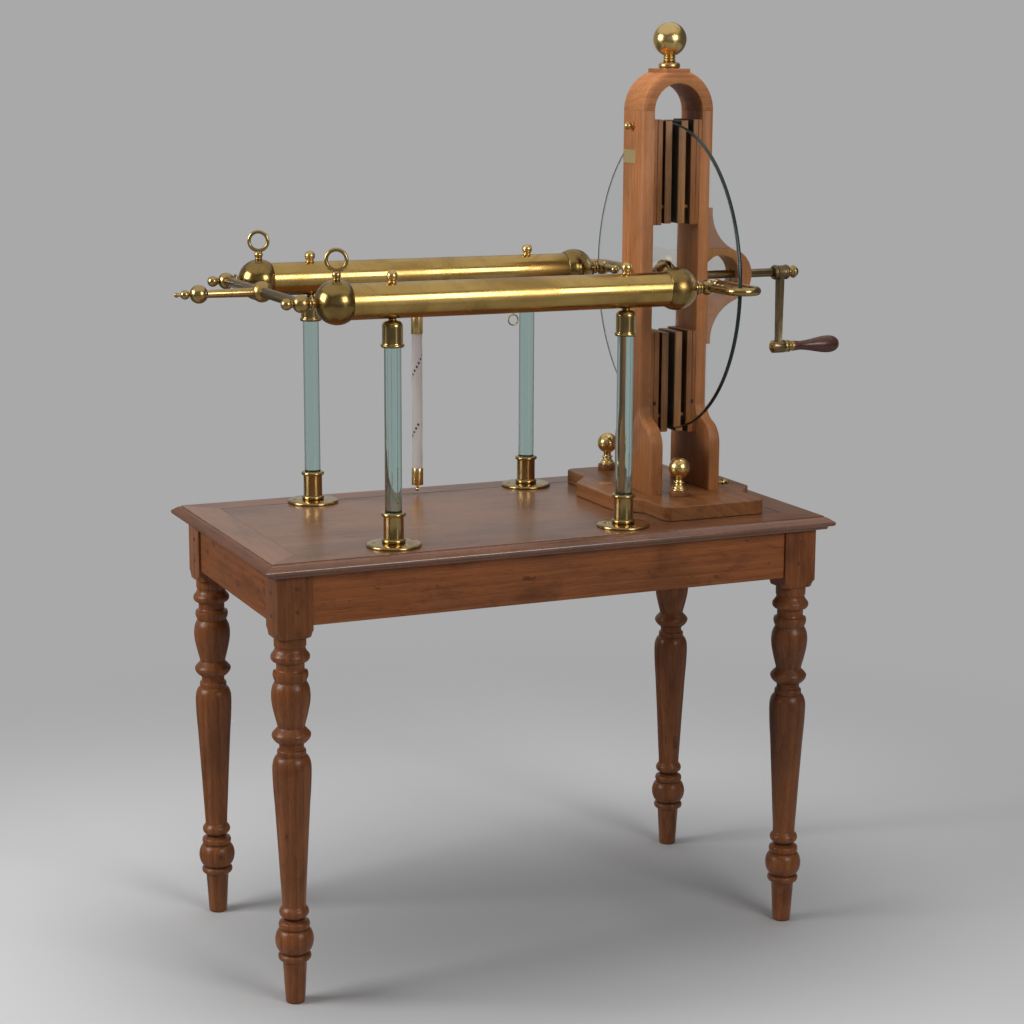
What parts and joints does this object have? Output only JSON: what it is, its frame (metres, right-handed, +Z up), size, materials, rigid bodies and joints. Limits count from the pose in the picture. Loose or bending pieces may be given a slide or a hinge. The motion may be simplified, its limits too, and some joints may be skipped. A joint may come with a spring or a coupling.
{
  "type": "friction electrostatic machine",
  "caption": "Plate friction electrostatic machine: a crank turns a glass plate between sprung leather rubbers, with brass conductors on glass columns, on a turned-leg table.",
  "frame": {"origin": "on the floor under the middle of the whole object's box", "axes": "+Z up, +X along the table towards the crank, +Y from the front conductor to the rear one"},
  "size_m": [1.259, 0.612, 1.593],
  "materials": {
    "table_top": "polished, greyed",
    "table_border": "polished, dark moulding",
    "apron_wood": "waxed",
    "leg_wood": "waxed, dark",
    "peg_wood": "end grain",
    "column_glass": "solid pale green glass",
    "polished_brass": "polished",
    "conductor_brass": "satin, aged and mottled",
    "aged_brass": "aged",
    "dull_brass": "dull, brown",
    "spark_glass": "clear tube",
    "base_wood": "varnished, worn",
    "dark_wood": "dark stained",
    "frame_wood": "varnished reddish tan",
    "rubber_wood": "dark, rubbed",
    "spring_brass": "hard rolled",
    "leather": "dark, worn",
    "plate_glass": "clear plate with a green edge",
    "hub_brass": "aged",
    "axle_steel": "dull steel",
    "bronze": "dull bronze",
    "grip_wood": "polished dark red"
  },
  "bodies": {
    "stand": {"table_top_panel": "table_top", "table_top_border": "table_border", "apron_rails_long": "apron_wood", "apron_rails_short": "apron_wood", "leg_front_left": "leg_wood", "leg_front_right": "leg_wood", "leg_back_left": "leg_wood", "leg_back_right": "leg_wood", "apron_pegs": "peg_wood", "column_glass_front": "column_glass", "column_glass_rear": "column_glass", "column_bases": "polished_brass", "column_caps": "aged_brass", "conductor_front": "conductor_brass", "conductor_rear": "conductor_brass", "conductor_balls": "conductor_brass", "terminal_knobs": "polished_brass", "ring_eye_front": "polished_brass", "ring_eye_rear": "polished_brass", "jaw_front": "aged_brass", "jaw_rear": "aged_brass", "crossbar": "dull_brass", "crossbar_joints": "aged_brass", "joint_screws": "polished_brass", "discharge_rod": "dull_brass", "spark_hanger": "aged_brass", "wire_ring": "dull_brass", "base_board": "base_wood", "clamp_washers": "dark_wood", "upright_left": "frame_wood", "upright_right": "frame_wood", "arch": "frame_wood", "arch_cap": "frame_wood", "finial": "polished_brass", "bow_bracket": "frame_wood", "axle_bushes": "hub_brass", "upright_knob": "polished_brass", "earth_stud": "aged_brass", "backing_boards": "rubber_wood", "leaf_springs": "spring_brass"},
    "rotor": {"glass_plate": "plate_glass", "hub_flanges": "hub_brass", "axle": "axle_steel", "crank_arm": "bronze", "crank_nut": "polished_brass", "handle_spindle": "bronze"},
    "grip": {"grip_ferrule": "bronze", "handle_grip": "grip_wood"},
    "spark_tube": {"spark_glass": "spark_glass", "spark_ferrules": "aged_brass"},
    "clamp_front": {"clamp_knob_front": "polished_brass"},
    "clamp_rear": {"clamp_knob_rear": "polished_brass"},
    "rubber_upper_left": {"rubber_board_upper_left": "rubber_wood", "rubber_pad_upper_left": "leather"},
    "rubber_upper_right": {"rubber_board_upper_right": "rubber_wood", "rubber_pad_upper_right": "leather"},
    "rubber_lower_left": {"rubber_board_lower_left": "rubber_wood", "rubber_pad_lower_left": "leather"},
    "rubber_lower_right": {"rubber_board_lower_right": "rubber_wood", "rubber_pad_lower_right": "leather"}
  },
  "joints": [
    {"name": "plate_turn", "type": "hinge", "parent": "stand", "child": "rotor", "pos_m": [0.26815, 0, 1.15], "axis": [1, 0, 0], "continuous": true},
    {"name": "grip_turn", "type": "hinge", "parent": "rotor", "child": "grip", "pos_m": [0.54815, 0, 1.014], "axis": [1, 0, 0], "continuous": true},
    {"name": "spark_swing", "type": "hinge", "parent": "stand", "child": "spark_tube", "pos_m": [-0.12785, 0.202, 1.09], "axis": [1, 0, 0], "range_deg": [-15, 15]},
    {"name": "clamp_front_turn", "type": "hinge", "parent": "stand", "child": "clamp_front", "pos_m": [0.24315, -0.112, 0.8], "axis": [0, 0, 1], "continuous": true},
    {"name": "clamp_rear_turn", "type": "hinge", "parent": "stand", "child": "clamp_rear", "pos_m": [0.24315, 0.174, 0.8], "axis": [0, 0, 1], "continuous": true},
    {"name": "rubber_upper_left_press", "type": "slide", "parent": "stand", "child": "rubber_upper_left", "axis": [-1, 0, 0], "range_m": [0, 0.0025], "stiffness_N_per_m": 4000, "springref_m": -0.001, "deforming": ["leaf_springs"]},
    {"name": "rubber_upper_right_press", "type": "slide", "parent": "stand", "child": "rubber_upper_right", "axis": [1, 0, 0], "range_m": [0, 0.0025], "stiffness_N_per_m": 4000, "springref_m": -0.001, "deforming": ["leaf_springs"]},
    {"name": "rubber_lower_left_press", "type": "slide", "parent": "stand", "child": "rubber_lower_left", "axis": [-1, 0, 0], "range_m": [0, 0.0025], "stiffness_N_per_m": 4000, "springref_m": -0.001, "deforming": ["leaf_springs"]},
    {"name": "rubber_lower_right_press", "type": "slide", "parent": "stand", "child": "rubber_lower_right", "axis": [1, 0, 0], "range_m": [0, 0.0025], "stiffness_N_per_m": 4000, "springref_m": -0.001, "deforming": ["leaf_springs"]}
  ]
}
